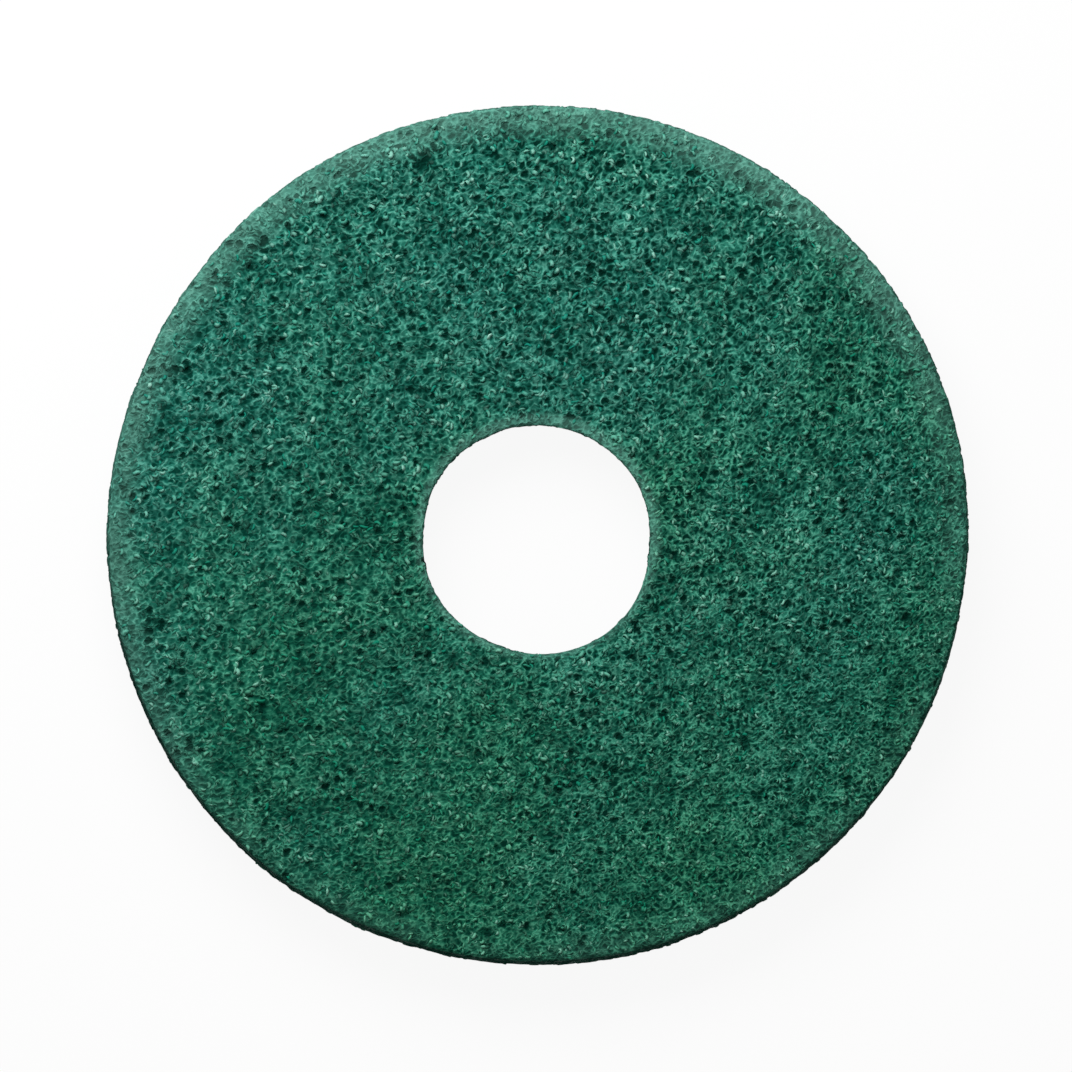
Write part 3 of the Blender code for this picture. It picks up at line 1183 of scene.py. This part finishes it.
class SCRUB_OT_wall_strands(bpy.types.Operator):
    """Lay the cut layers of strands round the two cut walls"""

    bl_idname = "scrub.wall_strands"
    bl_label = "Cut wall strands"

    def execute(self, context):
        sizes = context.scene.scrub_sizes
        low = WALL_MARGIN
        high = THICKNESS - WALL_MARGIN
        for name, radius, facing, seed in (
            ("rim_wall_strands", RIM_RADIUS - RIM_FLARE / 2, 1, 31),
            ("hole_wall_strands", HOLE_RADIUS + HOLE_FLARE / 2, -1, 41),
        ):
            tree = strand_tree(name, wall_place(radius, facing), wall_outside(low, high))
            values = {
                "Relief": bpy.data.objects["matted_web"],
                "Density": WALL_DENSITY,
                "Points": WALL_POINTS,
                "Step": sizes.strand_step * 1.1,
                "Curl": sizes.curl * 0.7,
                "Lay": 0.0,
                "Spread": 0.75,
                "Radius": sizes.strand_radius,
                "Arch": 0.35 * MM,
                "Wall": 1.0,
                "Seed": seed,
                "Material": bpy.data.materials["resin_strand"],
            }
            strip = flat_strip(name + "_layout", math.tau * radius, low, high)
            kept(grown(name, strip, tree, values))
        return {"FINISHED"}


class SCRUB_OT_stage(bpy.types.Operator):
    """Set the white floor, the soft lights and the camera"""

    bl_idname = "scrub.stage"
    bl_label = "White stage"

    def execute(self, context):
        scene = context.scene
        stage = scene.scrub_stage
        floor_mesh = bpy.data.meshes.new("white_floor")
        side = FLOOR_HALF_SIDE
        corners = [(-side, -side), (side, -side), (side, side), (-side, side)]
        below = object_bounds()[0][2]
        floor_mesh.from_pydata([(x, y, below) for x, y in corners], [], [(0, 1, 2, 3)])
        floor = shown("white_floor", floor_mesh)
        floor.data.materials.append(floor_finish(scene.scrub_colours.floor, stage.glow))
        floor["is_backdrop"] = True

        world = bpy.data.worlds.new("soft_room")
        scene.world = world
        world.use_nodes = True
        graph = Graph(world.node_tree)
        strength = stage.sky + (1.0 - stage.sky) * looked_at(graph)
        values = {"Color": CLEAR_WHITE, "Strength": strength}
        sky = graph.node("ShaderNodeBackground", None, values)["Background"]
        out = graph.node("ShaderNodeOutputWorld")
        graph.link(sky, out.node, "Surface")

        lamp = bpy.data.lights.new("large_lamp", "AREA")
        lamp.shape = "DISK"
        lamp.size = LAMP_WIDTH
        lamp.energy = stage.lamp_power
        lamp_object = bpy.data.objects.new("large_lamp", lamp)
        lamp_object.location = LAMP_PLACE
        aim = -lamp_object.location
        lamp_object.rotation_euler = aim.to_track_quat("-Z", "Y").to_euler()
        scene.collection.objects.link(lamp_object)

        camera = bpy.data.cameras.new("camera")
        camera.type = "ORTHO"
        camera.ortho_scale = stage.view_width
        camera.clip_end = 10.0
        camera_object = bpy.data.objects.new("camera", camera)
        scene.collection.objects.link(camera_object)
        pixel = stage.view_width / PHOTO_PIXELS
        middle = PHOTO_PIXELS / 2
        across = (middle - PAD_ACROSS) * pixel
        up = (PAD_DOWN - middle) * pixel
        camera_object.location = (across, up, THICKNESS / 2 + CAMERA_HEIGHT)
        scene.camera = camera_object
        scene.view_settings.view_transform = "Standard"
        return {"FINISHED"}


class SCRUB_PT_panel(bpy.types.Panel):
    """Lists the steps that dress the pad"""

    bl_idname = "SCRUB_PT_panel"
    bl_label = "Scrubbing Pad"
    bl_space_type = "VIEW_3D"
    bl_region_type = "UI"
    bl_category = "Scrubbing Pad"

    def draw(self, context):
        layout = self.layout
        scene = context.scene
        for group in (scene.scrub_colours, scene.scrub_sizes, scene.scrub_stage):
            box = layout.box()
            for name in group.bl_rna.properties.keys():
                if name not in ("rna_type", "name"):
                    box.prop(group, name)
        for step in STEPS:
            layout.operator(step.bl_idname)


STEPS = (
    SCRUB_OT_finishes,
    SCRUB_OT_web,
    SCRUB_OT_face_strands,
    SCRUB_OT_floor_strands,
    SCRUB_OT_wall_strands,
    SCRUB_OT_stage,
)
GROUPS = (
    (ScrubPadColours, "scrub_colours"),
    (ScrubPadSizes, "scrub_sizes"),
    (ScrubPadStage, "scrub_stage"),
)


def register():
    for group, name in GROUPS:
        bpy.utils.register_class(group)
        setattr(bpy.types.Scene, name, bpy.props.PointerProperty(type=group))
    for step in (*STEPS, SCRUB_PT_panel):
        bpy.utils.register_class(step)


def unregister():
    for step in reversed((*STEPS, SCRUB_PT_panel)):
        bpy.utils.unregister_class(step)
    for group, name in reversed(GROUPS):
        delattr(bpy.types.Scene, name)
        bpy.utils.unregister_class(group)


def main():
    register()
    bpy.ops.scrub.finishes()
    bpy.ops.scrub.web()
    bpy.ops.scrub.face_strands()
    bpy.ops.scrub.floor_strands()
    bpy.ops.scrub.wall_strands()
    bpy.ops.scrub.stage()


if __name__ == "__main__":
    main()
